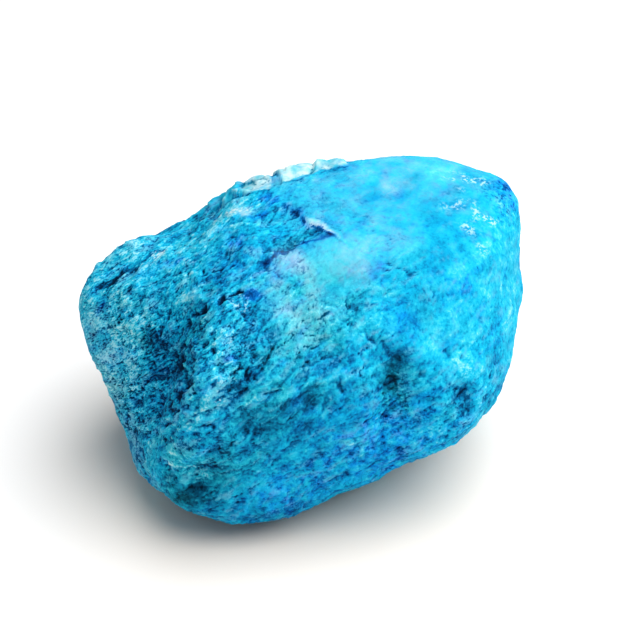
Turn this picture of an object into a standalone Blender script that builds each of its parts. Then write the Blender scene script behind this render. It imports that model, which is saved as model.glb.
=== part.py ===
"""A lump of raw howlite, dyed blue: one natural stone that lies on a flat worn spot.

The lump is modelled around its heart, a point inside it. Broad broken faces bound it,
each given by the way it looks and its distance from the heart, with worn, rounded
edges between them. Swellings, hollows, ridges, clefts and one broken-out flake are then
pressed into that form, and rough noise makes all of them irregular.
Lengths in this file are millimetres; the mesh is written in metres.
The front of the stone looks along -Y, and +X is its long way.
"""

import math

import bmesh
import bpy
import numpy as np
from mathutils import Vector, noise

NAME = "howlite_stone"
MM = 0.001

# Driving dimensions
LENGTH = 50.0  # of the finished stone, along X
HEART_HEIGHT = 17.0  # of the heart above the resting face
EDGE_SHARPNESS = 16  # exponent of the rounded edges between faces: higher is sharper
GRID = 28  # squares along each side of the cube that is blown up into the stone
HEART = np.array((0.0, 0.0, HEART_HEIGHT))

# Broad faces: name, azimuth and elevation of the way it looks, in degrees, and distance from the heart
FACES = (
    ("crown_back", 87, 57, 21.3),
    ("crown_right", 58, 52, 27.3),
    ("shoulder", 21, 29, 31.2),
    ("right_end", -1, 0, 25.7),
    ("right_end_lower", -8, -13, 25.0),
    ("right_underside", -21, -29, 21.8),
    ("front_underside", -48, -49, 17.6),
    ("toe", -87, -57, 20.2),
    ("left_heel", -142, -43, 22.4),
    ("left_end_lower", -168, -18, 21.9),
    ("left_end", 180, 2, 26.4),
    ("left_shoulder", 155, 33, 23.0),
    ("saddle", 134, 48, 18.8),
    ("crown_left", 113, 55, 18.6),
    ("top", -70, 76, 16.5),
    ("brow", -75, 38, 15.5),
    ("front", -80, -8, 16.5),
    ("left_brow", -155, 60, 17.0),
    ("left_cheek", -140, 15, 19.0),
    ("right_cheek", -28, 15, 22.5),
    ("underside", 0, -90, 17.6),
    ("left_back", 135, 0, 22.0),
    ("back", 90, 5, 19.5),
    ("right_back", 45, 0, 26.0),
    ("back_underside", 90, -45, 19.5),
)

# Swellings and hollows: name, middle, reach, and height, which is negative for a hollow
SWELLINGS = (
    ("left_lobe", (-24.0, -3.0, 20.0), 9.0, 1.3),
    ("left_lobe_top", (-20.5, 2.0, 25.5), 7.0, 0.8),
    ("saddle_dip", (-12.5, 5.0, 30.0), 8.0, -1.3),
    ("front_hollow_left", (-4.5, -17.8, 19.3), 4.0, -0.8),
    ("front_hollow_middle", (1.2, -16.5, 20.2), 4.2, -0.8),
    ("front_hollow_upper", (1.7, -13.1, 25.4), 4.6, -0.8),
    ("ridge_pit", (-5.7, -16.6, 23.3), 3.0, -0.7),
    ("right_hollow", (9.4, -14.3, 21.1), 4.4, -1.3),
    ("crumbled_patch", (10.8, -14.9, 17.4), 4.4, -0.7),
    ("toe_hollow", (-11.2, -17.6, 11.0), 4.2, -1.2),
    ("toe_swelling", (-3.0, -15.5, 6.0), 7.0, 0.6),
    ("right_end_bump", (24.8, -0.5, 20.5), 4.5, 0.6),
    ("back_swelling", (-6.0, 20.0, 18.0), 9.0, 1.0),
    ("back_hollow", (8.0, 20.0, 20.0), 7.0, -1.4),
)

# Ridges and clefts: name, course from its lower end up, with x, y, z and height at each stop (a cleft
# has negative heights), then its reach to the left and to the right as one looks at the stone
COURSES = (
    ("great_cleft", ((-17.6, -11.0, 11.5, -0.6), (-16.6, -12.2, 15.5, -1.8), (-15.2, -12.6, 19.5, -2.6),
                     (-14.0, -12.4, 23.2, -2.7), (-12.4, -10.8, 26.4, -1.8), (-10.2, -9.8, 28.6, -0.5)),
     5.0, 2.6),
    ("cleft_branch", ((-17.4, -8.0, 22.5, -0.7), (-14.8, -7.2, 25.8, -1.0), (-12.5, -5.0, 28.4, -0.4)),
     2.8, 2.0),
    ("cleft_ridge", ((-12.6, -16.4, 13.5, 0.4), (-10.6, -17.2, 18.0, 1.1), (-8.8, -15.6, 24.0, 1.0),
                     (-7.2, -12.0, 28.0, 0.4)),
     3.0, 4.0),
    ("crown_ledge", ((-7.5, 7.6, 32.0, 0.4), (-4.0, 7.6, 33.2, 1.1), (0.1, 8.4, 34.0, 1.5),
                     (3.2, 9.6, 34.2, 1.0), (6.0, 10.6, 34.2, 0.1)),
     4.0, 1.9),
    ("rim_step", ((-23.2, -3.0, 22.0, 0.0), (-21.3, -0.8, 25.2, -0.9), (-18.0, 0.8, 27.4, -0.7),
                  (-14.5, 1.6, 28.5, 0.0)),
     1.6, 2.4),
    ("right_crack", ((7.6, -11.9, 24.9, -0.3), (10.0, -12.8, 23.2, -1.0), (11.4, -13.6, 20.4, -0.3)),
     2.0, 2.0),
    ("right_rim", ((9.8, -11.9, 24.4, 0.2), (12.2, -12.6, 22.0, 0.7), (12.8, -13.6, 18.8, 0.2)),
     2.4, 2.6),
    ("lower_right_pit", ((16.6, -13.6, 15.8, -0.7), (17.7, -13.0, 18.9, -1.1)),
     1.9, 1.9),
    ("toe_lip", ((-14.4, -15.6, 13.6, 0.2), (-11.4, -17.6, 13.6, 0.7), (-8.4, -18.0, 12.8, 0.2)),
     2.4, 1.8),
    ("right_end_notch", ((24.6, -3.0, 22.5, -0.2), (25.4, 0.4, 25.0, -0.7), (24.6, 3.6, 26.6, -0.2)),
     2.2, 2.2),
    ("back_ridge", ((-14.0, 17.0, 8.0, 0.3), (-2.0, 20.0, 12.0, 1.1), (12.0, 18.0, 13.0, 0.4)),
     4.0, 3.0),
    ("back_cleft", ((2.0, 19.0, 5.0, -0.4), (4.5, 20.0, 13.0, -1.4), (2.0, 17.0, 24.0, -0.4)),
     3.0, 4.0),
)

# Flakes broken out of the surface: name, corners in order, how wide the broken edge after each
# corner is, and height
FLAKES = (
    ("crown_flake", ((-7.6, 1.0, 33.0), (-1.2, 3.0, 34.5), (4.2, -4.1, 32.6), (-3.2, -7.9, 31.7)),
     (4.0, 1.3, 1.3, 5.0), -0.8),
)

# Roughness: noise shifts the pressed forms sideways and lifts the surface
SEED = 43
DRIFT = 1.2  # largest sideways shift, nearly
DRIFT_SIZE = 5.0
UNDULATION = 0.7  # largest lift, nearly
UNDULATION_SIZE = 9.0
UNDULATION_OCTAVES = 4
BEDDING = (0.81, 0.43, 0.39)  # direction along which the lifts are drawn out
BEDDING_STRETCH = 1.8

# The rubbed top: the azimuth and elevation it looks, how far it spreads, in degrees, and the
# share of the roughness that it has lost
RUBBED_TOP = (75, 75)
RUBBED_SPREAD = 70.0
RUBBED_LOSS = 0.7

COURSE_BLEND = 6  # how hard the segments of a course blend: higher is nearer to the plain polyline
FLAKE_DEPTH = 4.0  # how far off its own plane a flake still acts
TINY = 1e-6


def outward(azimuth, elevation):
    """Unit vector that looks along azimuth, counted from +X towards +Y, and elevation above level."""
    across = math.cos(math.radians(elevation))
    return np.array((
        across * math.cos(math.radians(azimuth)),
        across * math.sin(math.radians(azimuth)),
        math.sin(math.radians(elevation)),
    ))


def faceted_radius(rays):
    """Distance from the heart to the faces along each ray, worn round where faces meet.

    It is the inverse of the p-norm of the rays' nearness to every face.
    """
    total = np.zeros(len(rays))
    for _, azimuth, elevation, distance in FACES:
        total += np.maximum(rays @ outward(azimuth, elevation) / distance, 0.0) ** EDGE_SHARPNESS
    return total ** (-1.0 / EDGE_SHARPNESS)


def bell(share):
    """Smooth hump: 1 at share 0, falling to 0 at share 1 and beyond."""
    return np.maximum(1.0 - share * share, 0.0) ** 2


def rough_drift(points):
    """Sideways shift of each point by smooth noise, so that pressed forms get irregular borders."""
    return DRIFT * np.array([
        noise.turbulence_vector(Vector(point) / DRIFT_SIZE, 2, False) for point in points
    ])


def undulation(points, rays):
    """Rise and fall of each point by fractal noise, drawn out along the bedding, less on the rubbed top."""
    along = np.array(BEDDING) / np.linalg.norm(BEDDING)
    squeezed = points - np.outer(points @ along, along) * (1.0 - 1.0 / BEDDING_STRETCH)
    heights = np.array([
        noise.fractal(Vector(point) / UNDULATION_SIZE, 0.9, 2.0, UNDULATION_OCTAVES) for point in squeezed
    ])
    turned = np.degrees(np.arccos(np.clip(rays @ outward(*RUBBED_TOP), -1.0, 1.0)))
    return UNDULATION * heights * (1.0 - RUBBED_LOSS * bell(turned / RUBBED_SPREAD))


def course_lift(points, course, reach_left, reach_right):
    """Lift by a ridge or cleft: a hump across its course, whose height runs from stop to stop."""
    nearness = np.zeros(len(points))
    heights = np.zeros(len(points))
    for start, end in zip(course, course[1:]):
        start, end = np.array(start), np.array(end)
        run = end[:3] - start[:3]
        along = np.clip((points - start[:3]) @ run / (run @ run), 0.0, 1.0)
        offset = points - (start[:3] + along[:, None] * run)
        distance = np.linalg.norm(offset, axis=1) + TINY
        to_right = np.cross(run, (start[:3] + end[:3]) / 2 - HEART)
        rightness = offset @ (to_right / np.linalg.norm(to_right)) / distance
        reach = (reach_left + reach_right + (reach_right - reach_left) * rightness) / 2
        weight = (distance / reach) ** -COURSE_BLEND
        nearness += weight
        heights += weight * (start[3] + along * (end[3] - start[3]))
    return heights / nearness * bell(nearness ** (-1.0 / COURSE_BLEND))


def flake_share(points, corners, widths):
    """1 inside a convex flake's corners, falling smoothly to 0 across each of its broken edges."""
    corners = np.array(corners)
    middle = corners.mean(axis=0)
    facing = np.cross(corners[2] - corners[0], corners[3] - corners[1])
    facing /= np.linalg.norm(facing)
    share = np.clip(2.0 - np.abs((points - middle) @ facing) / FLAKE_DEPTH, 0.0, 1.0)
    for start, end, width in zip(corners, np.roll(corners, -1, axis=0), widths):
        inward = np.cross(facing, end - start)
        inward *= np.sign(inward @ (middle - start)) / np.linalg.norm(inward)
        inside = np.clip((points - start) @ inward / width, 0.0, 1.0)
        share = share * inside * inside * (3.0 - 2.0 * inside)
    return share


def stone_points(rays):
    """Surface points, in millimetres, where the rays from the heart leave the stone."""
    points = HEART + rays * faceted_radius(rays)[:, None]
    places = points + rough_drift(points)
    lift = undulation(points, rays)
    for _, middle, reach, height in SWELLINGS:
        lift += height * bell(np.linalg.norm(places - np.array(middle), axis=1) / reach)
    for _, course, reach_left, reach_right in COURSES:
        lift += course_lift(places, course, reach_left, reach_right)
    for _, corners, widths, height in FLAKES:
        lift += height * flake_share(places, corners, widths)
    return points + rays * lift[:, None]


def rest_flat(points):
    """Points below the resting face slide along their rays onto it: the stone is worn flat there."""
    below = points[:, 2] < 0.0
    shrink = HEART_HEIGHT / (HEART_HEIGHT - points[below, 2])
    points[below] = HEART + (points[below] - HEART) * shrink[:, None]
    points[below, 2] = 0.0
    return points


def blown_up_cube():
    """Mesh of a cube with GRID squares a side, and the ray from the heart through each of its points."""
    shape = bmesh.new()
    bmesh.ops.create_cube(shape, size=2.0)
    bmesh.ops.subdivide_edges(shape, edges=shape.edges[:], cuts=GRID - 1, use_grid_fill=True)
    mesh = bpy.data.meshes.new(NAME)
    shape.to_mesh(mesh)
    shape.free()
    corners = np.empty(len(mesh.vertices) * 3)
    mesh.vertices.foreach_get("co", corners)
    rays = np.tan(corners.reshape(-1, 3) * math.pi / 4)
    rays /= np.linalg.norm(rays, axis=1)[:, None]
    return mesh, rays


def dyed_howlite():
    """Matt, dyed blue stone."""
    material = bpy.data.materials.new("dyed_howlite")
    material.use_nodes = True
    shader = material.node_tree.nodes["Principled BSDF"]
    shader.inputs["Base Color"].default_value = (0.02, 0.30, 0.52, 1.0)
    shader.inputs["Roughness"].default_value = 0.75
    shader.inputs["Metallic"].default_value = 0.0
    material.diffuse_color = (0.02, 0.30, 0.52, 1.0)
    material.roughness = 0.75
    return material


def make_stone():
    mesh, rays = blown_up_cube()
    points = rest_flat(stone_points(rays))
    low, high = points.min(axis=0), points.max(axis=0)
    points[:, :2] -= (low[:2] + high[:2]) / 2
    points *= LENGTH / (high[0] - low[0])
    mesh.vertices.foreach_set("co", (points * MM).ravel())
    mesh.update()
    mesh.shade_smooth()
    mesh.materials.append(dyed_howlite())
    return bpy.data.objects.new(NAME, mesh)


def clear_scene():
    for old in list(bpy.data.objects):
        bpy.data.objects.remove(old)


def main():
    clear_scene()
    noise.seed_set(SEED)
    lump = bpy.data.collections.new("raw_howlite")
    bpy.context.scene.collection.children.link(lump)
    lump.objects.link(make_stone())


main()
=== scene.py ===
# A lump of raw howlite, dyed blue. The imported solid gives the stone's form and size; this script
# gives it its broken, grainy surface and its dye, and lights it on a pale floor. The camera, the
# floor and the light are set out in metres. The stone is worked out in millimetres, and turned
# into metres where its mesh and its material are made.
import math

import bpy
import numpy as np
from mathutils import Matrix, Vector


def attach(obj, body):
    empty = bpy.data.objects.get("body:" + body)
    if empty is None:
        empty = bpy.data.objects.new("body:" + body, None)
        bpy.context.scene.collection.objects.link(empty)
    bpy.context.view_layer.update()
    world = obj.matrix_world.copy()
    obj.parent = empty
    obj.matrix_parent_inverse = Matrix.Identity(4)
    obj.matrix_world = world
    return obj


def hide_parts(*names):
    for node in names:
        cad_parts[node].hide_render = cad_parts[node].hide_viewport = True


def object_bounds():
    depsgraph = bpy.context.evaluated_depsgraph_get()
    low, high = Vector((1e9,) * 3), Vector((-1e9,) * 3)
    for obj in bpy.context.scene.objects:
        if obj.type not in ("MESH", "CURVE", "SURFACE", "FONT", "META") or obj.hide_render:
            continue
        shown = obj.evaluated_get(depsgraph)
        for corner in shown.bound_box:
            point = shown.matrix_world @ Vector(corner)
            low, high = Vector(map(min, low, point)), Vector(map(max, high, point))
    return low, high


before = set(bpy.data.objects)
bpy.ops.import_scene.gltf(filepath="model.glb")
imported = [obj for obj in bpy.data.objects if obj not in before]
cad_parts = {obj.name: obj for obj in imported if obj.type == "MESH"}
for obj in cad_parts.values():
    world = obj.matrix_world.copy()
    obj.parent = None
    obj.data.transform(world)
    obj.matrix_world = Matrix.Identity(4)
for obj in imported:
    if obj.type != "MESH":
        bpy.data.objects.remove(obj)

solid_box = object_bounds()

# ---- Camera -------------------------------------------------------------------------------------
# A long lens looks down on the front of the stone, from a shade to its right, so that the broken
# left side, the rubbed top and the front all show.
CAMERA_TILT = 33.0  # degrees below level
CAMERA_TARGET = Vector((0.0019, 0.0002, 0.0191))
CAMERA_DISTANCE = 0.1707
LENS_MM = 85.0
NEAREST_SEEN = 0.01

tilt = math.radians(CAMERA_TILT)
sight = Vector((0.0, math.cos(tilt), -math.sin(tilt)))
camera = bpy.data.objects.new("camera", bpy.data.cameras.new("camera"))
camera.data.lens = LENS_MM
camera.data.clip_start = NEAREST_SEEN
camera.location = CAMERA_TARGET - sight * CAMERA_DISTANCE
camera.rotation_euler = sight.to_track_quat("-Z", "Y").to_euler()
bpy.context.scene.collection.objects.link(camera)
bpy.context.scene.camera = camera

# ---- Floor and light ----------------------------------------------------------------------------
# A matt white sheet lies under the stone. Near the stone it is painted warmer and a little darker: a
# painted shade that takes the stone's blue light out of its shadow and deepens that shadow. A very
# broad soft light hangs over it, to the right and a little in front, so that its shadow spreads
# softly to the left. A white room fills in the rest.
FLOOR_WIDTH = 3.0
FLOOR_COLOUR = (0.90, 0.89, 0.88, 1.0)
# painted shade: warm and a little darker, to cancel the stone's blue light in its shadow
FLOOR_PAINTED_SHADE_COLOUR = (0.88, 0.80, 0.715, 1.0)  # warmer where the stone throws its blue light on it
FLOOR_PAINTED_SHADE_REACH = (0.015, 0.038)  # distances from the middle between which the one becomes the other
ROOM_STRENGTH = 0.35
KEY_AT = Vector((0.16, -0.05, 0.40))
KEY_WIDTH = 0.55
KEY_WATTS = 3.25
KEY_AIM = Vector((0.0, 0.0, 0.015))  # the middle of the stone


def node(tree, kind, inputs=(), **settings):
    """Outputs of a new node of a shader tree. Its inputs are values, or the outputs of other nodes."""
    made = tree.nodes.new("ShaderNode" + kind)
    for name, value in settings.items():
        setattr(made, name, value)
    for name, value in dict(inputs).items():
        if isinstance(value, bpy.types.NodeSocket):
            tree.links.new(value, made.inputs[name])
        else:
            made.inputs[name].default_value = value
    return made.outputs


def eased(tree, value, low, high):
    """0 below low, 1 above high, and a smooth step between; the other way round if high is below low."""
    settings = {"Value": value, "From Min": low, "From Max": high}
    return node(tree, "MapRange", settings, interpolation_type="SMOOTHSTEP")["Result"]


def laid_over(tree, colour, other, amount):
    """One colour with a share of another laid over it.

    Mix has sockets for every kind of value: 0 takes the share, 6 and 7 the colours, and 2 gives one.
    """
    return node(tree, "Mix", {0: amount, 6: colour, 7: other}, data_type="RGBA")[2]


floor_mesh = bpy.data.meshes.new("floor")
half = FLOOR_WIDTH / 2
floor_mesh.from_pydata([(-half, -half, 0), (half, -half, 0), (half, half, 0), (-half, half, 0)],
                       [], [(0, 1, 2, 3)])
floor_paint = bpy.data.materials.new("floor_sheet")
floor_paint.use_nodes = True
floor_tree = floor_paint.node_tree
floor_shader = floor_tree.nodes["Principled BSDF"]
floor_place = node(floor_tree, "TexCoord")["Object"]
from_middle = node(floor_tree, "VectorMath", {0: floor_place}, operation="LENGTH")["Value"]
# the painted shade near the stone fades into the plain sheet
far = eased(floor_tree, from_middle, *FLOOR_PAINTED_SHADE_REACH)
floor_colour = laid_over(floor_tree, FLOOR_PAINTED_SHADE_COLOUR, FLOOR_COLOUR, far)
floor_tree.links.new(floor_colour, floor_shader.inputs["Base Color"])
floor_shader.inputs["Roughness"].default_value = 1.0
floor_shader.inputs["Specular IOR Level"].default_value = 0.0
floor_mesh.materials.append(floor_paint)
floor = bpy.data.objects.new("floor", floor_mesh)
bpy.context.scene.collection.objects.link(floor)

key = bpy.data.objects.new("key_light", bpy.data.lights.new("key_light", "AREA"))
key.data.shape = "DISK"
key.data.size = KEY_WIDTH
key.data.energy = KEY_WATTS
key.location = KEY_AT
key.rotation_euler = (KEY_AIM - KEY_AT).to_track_quat("-Z", "Y").to_euler()
bpy.context.scene.collection.objects.link(key)

room = bpy.data.worlds.new("room")
room.use_nodes = True
room.node_tree.nodes["Background"].inputs["Color"].default_value = (1.0, 1.0, 1.0, 1.0)
room.node_tree.nodes["Background"].inputs["Strength"].default_value = ROOM_STRENGTH
bpy.context.scene.world = room
bpy.context.scene.view_settings.view_transform = "Standard"

# ---- The stone: its form ------------------------------------------------------------------------
# One natural lump of howlite, a chalky white mineral, broken out of its bed and then tumbled a
# little. A fine net is drawn tight over the solid, and eased where the solid has facets.
MM = 0.001  # in metres
HEART = np.array((-0.39, -1.05, 17.1))  # a point inside the stone, from which all of it is seen
NET_SQUARES = 128  # along each side of the cube that is blown up into the net
EASE_ROUNDS = 30  # of blurring, to take the solid's facets away


def blown_up_cube(squares):
    """Rays and outward quads of a net around a point.

    Each side of a cube is a grid a, b = 0 .. squares. Its point at the tangents of an eighth of a
    turn times (2 a / squares - 1) and (2 b / squares - 1) is pushed in to length 1.
    """
    a, b = np.meshgrid(np.arange(squares + 1), np.arange(squares + 1), indexing="ij")
    sides = []
    for axis in range(3):
        for end in (0, squares):
            side = np.empty(a.shape + (3,), dtype=int)
            side[..., axis] = end
            side[..., (axis + (1 if end else 2)) % 3] = a
            side[..., (axis + (2 if end else 1)) % 3] = b
            sides.append(side)
    knots, where = np.unique(np.reshape(sides, (-1, 3)), axis=0, return_inverse=True)
    where = where.reshape(6, squares + 1, squares + 1)
    quads = np.stack((where[:, :-1, :-1], where[:, 1:, :-1], where[:, 1:, 1:], where[:, :-1, 1:]), axis=-1)
    rays = np.tan(math.pi / 4 * (2 * knots / squares - 1))
    return rays / np.linalg.norm(rays, axis=1)[:, None], quads.reshape(-1, 4)


def net_mesh(name, points, quads):
    """Mesh of points in metres and quads, smooth all over."""
    mesh = bpy.data.meshes.new(name)
    mesh.from_pydata(points, [], quads)
    mesh.shade_smooth()
    return mesh


def drawn_tight(rays, quads, solid):
    """Distance, in millimetres, from the heart to the solid along each ray of a net inside it."""
    ball = bpy.data.objects.new("net", net_mesh("net", (HEART + rays) * MM, quads))
    bpy.context.scene.collection.objects.link(ball)
    pull = ball.modifiers.new("pull", "SHRINKWRAP")
    pull.target = solid
    pull.wrap_method = "PROJECT"
    pull.use_positive_direction = True
    pull.use_negative_direction = False
    evaluated = ball.evaluated_get(bpy.context.evaluated_depsgraph_get())
    landed = np.empty(len(rays) * 3, dtype=np.float32)
    evaluated.data.vertices.foreach_get("co", landed)
    bpy.data.objects.remove(ball)
    return np.linalg.norm(landed.reshape(-1, 3) / MM - HEART, axis=1)


def net_ties(points, quads):
    """Neighbours in the net, as pairs both ways round, and how much each counts.

    Every quad is cut in two along both of its diagonals. In each of the four triangles, the
    cotangent of a corner's angle is added to the tie between the other two corners.
    """
    ties, counts = [], []
    for k in range(4):
        triangle = quads[:, [k, (k + 1) % 4, (k + 2) % 4]]
        for corner in range(3):
            at, one, other = np.roll(triangle, -corner, axis=1).T
            left, right = points[one] - points[at], points[other] - points[at]
            cotangent = np.einsum("ij,ij->i", left, right) / np.linalg.norm(np.cross(left, right), axis=1)
            ties += [np.stack((one, other)), np.stack((other, one))]
            counts += [cotangent, cotangent]
    return np.concatenate(ties, axis=1), np.concatenate(counts)


def spread(values, rounds):
    """Values blurred over the net.

    Each round moves each one halfway to the mean of its neighbours, weighted by their ties.
    """
    for _ in range(rounds):
        total = np.bincount(ties[0], values[ties[1]] * counts, len(values))
        values = (values + total / counts_at) / 2
    return values


def facing(points, quads):
    """Unit normals at the points: the cross products of the diagonals of the quads around each, summed."""
    across = np.cross(points[quads[:, 2]] - points[quads[:, 0]], points[quads[:, 3]] - points[quads[:, 1]])
    total = np.zeros_like(points)
    for corner in range(4):
        for axis in range(3):
            total[:, axis] += np.bincount(quads[:, corner], across[:, axis], len(points))
    return total / np.linalg.norm(total, axis=1)[:, None]


rays, quads = blown_up_cube(NET_SQUARES)
ties, counts = net_ties(rays, quads)
counts_at = np.bincount(ties[0], counts, len(rays))
reach = spread(drawn_tight(rays, quads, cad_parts["howlite_stone"]), EASE_ROUNDS)
form = HEART + rays * reach[:, None]
normals = facing(form, quads)

# ---- The stone: its broken surface --------------------------------------------------------------
# Where it broke, howlite is granular: it tears along its beds into crests and hollows, parts in
# small steps, and loses crumbs. The left side and the front are rough, and the top is rubbed.
BEDDING_FACE = np.array((-0.55, 0.34, 0.77))  # the way the beds look
BEDDING_SQUEEZE = 2.4  # how much thinner a feature is across the beds than along them

# Rough and smooth places: middle, reach and roughness, each laid over those before it
ROUGH_PLACES = (
    ((0.0, -1.0, 17.0), 60.0, 0.6),  # all over
    ((-20.0, -5.0, 20.0), 19.0, 0.75),  # left side
    ((-24.0, -1.0, 19.0), 8.5, 0.2),  # its rim
    ((-21.5, -7.5, 8.0), 6.5, 0.3),
    ((-12.0, 1.0, 30.0), 11.0, 0.6),  # slope up to the crown
    ((-10.5, -18.0, 21.0), 9.0, 0.8),  # ridge beside the cleft
    ((3.0, -16.5, 14.0), 14.0, 0.4),  # front
    ((0.0, -12.0, 29.0), 7.0, 0.6),  # brow of the front
    ((13.0, 3.0, 34.5), 17.0, 0.08),  # rubbed top
    ((2.0, -7.5, 32.0), 6.0, 0.12),
    ((-1.5, -8.8, 31.8), 3.0, 0.4),
    ((24.0, 0.0, 24.0), 12.0, 0.3),  # right end
    ((14.0, -11.0, 24.0), 9.0, 0.28),
    ((9.5, -15.0, 17.5), 4.0, 0.6),  # crumbs under the right hollow
)

# Wrinkled places: middle, reach and height
WRINKLED_PLACES = (
    ((-9.5, -16.0, 24.5), 8.0, 1.0),  # ridge
    ((-3.0, -10.0, 31.0), 4.5, 0.6),  # brow
    ((-11.5, -18.0, 14.0), 6.0, 0.5),
)

# Broad low swells and flats that the solid leaves out: middle, reach and height
SWELLS = (
    ((9.0, 10.5, 34.0), 12.0, 0.45),
    ((23.0, 8.0, 31.5), 5.0, 0.35),
    ((24.6, 2.5, 21.5), 3.5, 0.7),
    ((24.7, 5.5, 25.0), 3.0, -0.35),
    ((22.5, -5.0, 15.5), 5.0, 0.4),
    ((20.0, -8.5, 13.5), 4.0, 0.3),
    ((11.5, -12.8, 8.0), 5.5, -0.65),
    ((5.0, -12.8, 4.5), 4.0, -0.4),
    ((-1.5, -15.5, 3.0), 4.0, 0.3),
    ((-5.5, -16.3, 3.4), 5.0, 0.3),
    ((-18.5, -8.5, 6.0), 5.0, 0.6),
    ((-20.8, -6.9, 13.0), 4.5, 0.5),
    ((-24.0, -1.0, 17.0), 4.0, -0.2),
    ((-20.1, 3.4, 26.6), 4.5, 0.4),
    ((-23.4, -0.6, 23.8), 4.0, 0.2),
    ((-9.2, 10.0, 29.5), 2.5, 0.4),
    ((-14.5, 6.5, 27.5), 4.0, -0.3),
)

# Cracks and slits: stops from end to end, half width and depth
CRACKS = (
    (((-8.2, -11.9, 29.6), (-7.9, -11.9, 29.8)), 0.8, 1.1),  # black hole, and the slit beside it
    (((-7.6, -11.8, 30.0), (-6.1, -11.5, 30.3)), 0.4, 0.8),
    (((-22.3, -1.9, 24.7), (-20.9, -1.7, 25.5), (-18.8, -1.5, 26.8), (-17.3, -0.4, 27.6)), 0.6, 0.3),  # rim
    (((-16.8, 2.0, 28.1), (-15.9, 3.0, 28.1)), 0.45, 0.3),
    (((-15.3, -8.1, 25.5), (-14.3, -9.0, 25.3)), 0.35, 0.4),
    (((-9.9, -11.6, 28.2), (-11.4, -10.9, 26.7), (-12.6, -10.8, 24.8)), 0.5, 0.45),
    (((-10.7, -14.9, 26.5), (-12.0, -13.6, 23.9), (-12.9, -13.5, 21.6)), 2.2, 0.2),  # cleft
    (((-11.2, -15.9, 24.7), (-11.8, -17.3, 22.5), (-13.4, -16.8, 19.3)), 1.4, 0.3),
    (((-11.3, -6.7, 29.6), (-10.1, -7.1, 30.0)), 0.3, 0.3),
    (((8.4, -13.2, 24.8), (9.5, -13.2, 23.6), (10.5, -13.6, 22.9)), 0.6, 0.12),  # right hollow
    (((6.1, -12.9, 26.2), (7.1, -13.4, 25.0)), 0.4, 0.2),
    (((7.6, -7.6, 31.2), (9.1, -8.2, 30.5)), 0.35, 0.25),
    (((8.8, -7.4, 31.2), (11.9, -7.8, 29.9)), 0.3, 0.2),
    (((4.1, -16.0, 22.5), (4.1, -16.6, 21.6)), 0.35, 0.25),
    (((-5.4, -18.5, 16.8), (-3.6, -18.3, 13.9)), 0.4, 0.25),
    (((-0.5, -11.9, 28.9), (-2.8, -15.4, 25.7), (-4.9, -17.6, 23.6)), 0.22, 0.12),  # long fine crack
)

# Hollows: middle, reach and depth
HOLLOWS = (
    ((-8.9, -16.8, 26.5), 0.7, 0.5),
    ((-5.3, -13.7, 28.7), 0.9, 0.4),
    ((9.0, -14.6, 20.6), 1.8, 0.42),
    ((12.4, -14.4, 21.8), 0.7, 0.35),
    ((11.9, -14.7, 21.0), 0.6, 0.3),
    ((13.6, -14.9, 18.8), 0.7, 0.3),
    ((16.5, -11.6, 23.4), 0.5, 0.3),
    ((15.1, -12.5, 22.9), 0.5, 0.3),
    ((16.8, -12.2, 22.2), 0.6, 0.3),
    ((17.0, -13.3, 18.6), 1.5, 0.5),
    ((17.4, -13.6, 16.9), 1.5, 0.5),
    ((-5.4, -18.5, 18.1), 1.8, 0.4),
    ((0.9, -17.1, 19.9), 1.2, 0.2),
    ((3.2, -16.5, 21.7), 1.0, 0.25),
    ((-10.9, -17.7, 9.9), 1.8, 0.6),
    ((10.4, -15.3, 12.2), 1.2, 0.3),
    ((4.8, -16.2, 9.7), 1.0, 0.3),
    ((15.4, -14.3, 13.9), 1.0, 0.3),
)

# Chunks of the pale ledge behind the crown, from left to right: outline seen from above, places and
# heights along it, and share of bare mineral
LEDGE_CHUNKS = (
    (((-9.4, 4.6), (-6.3, 3.3), (-7.6, 13.0), (-11.5, 13.0)),
     (-9.4, -8.0, -7.0, -6.3), (0.1, 0.6, 0.8, 0.5), 0.0),
    (((-6.3, 3.1), (-3.5, 3.0), (-4.6, 13.0), (-7.4, 13.0)),
     (-6.2, -5.4, -3.5), (0.25, 0.05, -0.5), 0.45),
    (((-3.4, 3.1), (-2.3, 3.6), (-3.6, 13.0), (-4.6, 13.0)),
     (-3.4, -2.3), (-0.6, -0.4), 0.10),
    (((-2.2, 3.7), (1.1, 5.3), (2.4, 13.0), (-3.6, 13.0)),
     (-2.2, -1.2, 1.1), (0.05, -0.1, -0.45), 0.70),
    (((1.3, 5.4), (4.7, 7.2), (5.6, 13.0), (2.6, 13.0)),
     (1.3, 2.8, 3.7, 4.7), (0.0, 0.1, 0.4, 0.45), 0.45),
)
LEDGE_BACK = (12.5, 8.5)  # between these distances back it sinks into the stone, in ragged ends
LEDGE_WHITE_BACK = (12.0, 6.5)  # and between these its bare mineral takes on the dye
LEDGE_FOOT = (22.0, 26.0)  # it begins between these heights
LEDGE_ROUGHNESS = 0.3

# A low patch of the top, seen from above
SUNKEN_OUTLINE = ((-1.9, 0.0), (-4.4, -1.6), (-4.6, -5.6), (-3.7, -8.5), (-0.6, -6.3), (3.3, -4.9))
SUNKEN_ROUGHNESS = 0.4
SUNKEN_MM = 0.2

# Where the grain runs along the beds, and how thick the beds are
STREAKY_PLACE = ((-20.0, 2.0, 25.0), 26.0)  # middle and reach
BED_MM = 1.9
CLIFF = 0.15  # share of a bed that the cliff at its end takes up

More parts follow.
